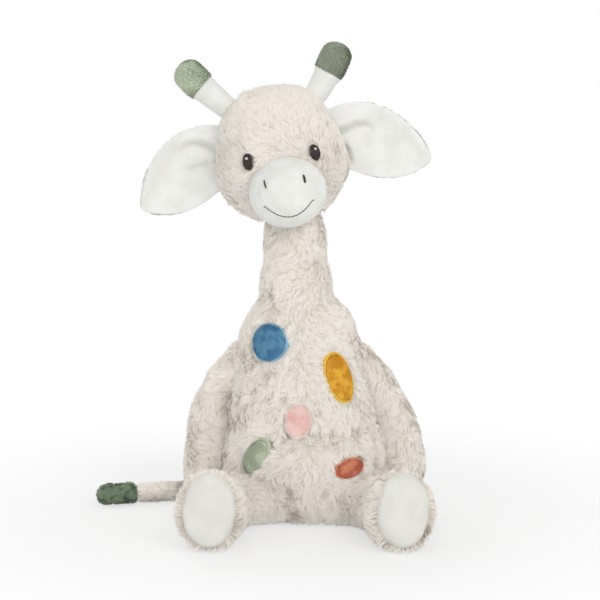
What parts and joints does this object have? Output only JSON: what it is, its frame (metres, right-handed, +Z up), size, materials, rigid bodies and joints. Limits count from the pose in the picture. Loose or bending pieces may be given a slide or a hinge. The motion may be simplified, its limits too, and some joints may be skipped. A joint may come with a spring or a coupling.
{
  "type": "plush giraffe",
  "caption": "Sitting plush giraffe with long pile, a velour muzzle, soft horns and ears, floppy limbs, a tail and coloured belly spots.",
  "frame": {"origin": "on the floor, under the middle of the seat, where the neck's plane and the sides' middle meet", "axes": "+Z up, -Y the way that the toy faces, +X its own left side"},
  "size_m": [0.292, 0.2296, 0.4017],
  "materials": {
    "fur": "long pile",
    "velour": "short velour pile",
    "horn_green": "short pile",
    "tail_green": "pile",
    "eye": "satin stitch",
    "glint": "satin stitch",
    "stuffing": "fibre",
    "pouch": "woven",
    "blue": "short velour pile",
    "yellow": "short velour pile",
    "pink": "short velour pile",
    "sage": "short velour pile",
    "red": "short velour pile"
  },
  "bodies": {
    "body": {"body_skin": "fur", "base_panel": "fur", "body_filling": "stuffing", "bean_pouch": "pouch", "spot_blue": "blue", "spot_yellow": "yellow", "spot_pink": "pink", "spot_green": "sage", "spot_red": "red"},
    "neck": {"neck_skin": "fur", "neck_filling": "stuffing"},
    "head": {"head_skin": "fur", "head_filling": "stuffing", "muzzle": "velour", "muzzle_filling": "stuffing", "mouth": "eye", "eye_left": "eye", "eye_right": "eye", "glint_left": "glint", "glint_right": "glint", "nostril_left": "eye", "nostril_right": "eye"},
    "tail": {"tail": "fur", "tail_tip": "tail_green"},
    "ear_left": {"ear_front_left": "velour", "ear_back_left": "fur"},
    "horn_left": {"horn_stalk_left": "velour", "horn_tip_left": "horn_green"},
    "arm_left": {"arm_skin_left": "fur", "arm_filling_left": "stuffing"},
    "leg_left": {"leg_skin_left": "fur", "leg_filling_left": "stuffing", "sole_left": "velour"},
    "ear_right": {"ear_front_right": "velour", "ear_back_right": "fur"},
    "horn_right": {"horn_stalk_right": "velour", "horn_tip_right": "horn_green"},
    "arm_right": {"arm_skin_right": "fur", "arm_filling_right": "stuffing"},
    "leg_right": {"leg_skin_right": "fur", "leg_filling_right": "stuffing", "sole_right": "velour"}
  },
  "joints": [
    {"name": "neck_bend", "type": "hinge", "parent": "body", "child": "neck", "pos_m": [-0.00399, 0, 0.204], "axis": [1, 0, 0], "range_deg": [-15, 25], "stiffness_Nm_per_rad": 6},
    {"name": "head_tilt", "type": "hinge", "parent": "neck", "child": "head", "pos_m": [-0.00609, 0, 0.24], "axis": [0, 1, 0], "range_deg": [-15, 15], "stiffness_Nm_per_rad": 3},
    {"name": "ear_flap_left", "type": "hinge", "parent": "head", "child": "ear_left", "pos_m": [0.03928, -0.003, 0.32413], "axis": [0.1392, 0, -0.9903], "range_deg": [-15, 30], "stiffness_Nm_per_rad": 0.05},
    {"name": "ear_flap_right", "type": "hinge", "parent": "head", "child": "ear_right", "pos_m": [-0.07409, -0.003, 0.3082], "axis": [-0.1392, 0, 0.9903], "range_deg": [-15, 30], "stiffness_Nm_per_rad": 0.05},
    {"name": "horn_wobble_left", "type": "hinge", "parent": "head", "child": "horn_left", "pos_m": [0.01447, 0.004, 0.3615], "axis": [0, 1, 0], "range_deg": [-12, 12], "stiffness_Nm_per_rad": 0.2},
    {"name": "horn_wobble_right", "type": "hinge", "parent": "head", "child": "horn_right", "pos_m": [-0.06568, 0.004, 0.3494], "axis": [0, 1, 0], "range_deg": [-12, 12], "stiffness_Nm_per_rad": 0.2},
    {"name": "arm_swing_left", "type": "hinge", "parent": "body", "child": "arm_left", "pos_m": [0.04845, 0, 0.151], "axis": [0, -1, 0], "range_deg": [0, 90]},
    {"name": "arm_swing_right", "type": "hinge", "parent": "body", "child": "arm_right", "pos_m": [-0.04828, 0, 0.151], "axis": [0, 1, 0], "range_deg": [0, 90]},
    {"name": "leg_lift_left", "type": "hinge", "parent": "body", "child": "leg_left", "pos_m": [0.0605, -0.04235, 0.0415], "axis": [-0.9778, -0.2095, 0], "range_deg": [0, 55]},
    {"name": "leg_lift_right", "type": "hinge", "parent": "body", "child": "leg_right", "pos_m": [-0.05802, -0.03876, 0.0415], "axis": [-0.9889, 0.1487, 0], "range_deg": [0, 55]},
    {"name": "tail_swing", "type": "hinge", "parent": "body", "child": "tail", "pos_m": [0, 0.06301, 0.00875], "axis": [0, 0, 1], "range_deg": [-80, 0]}
  ]
}
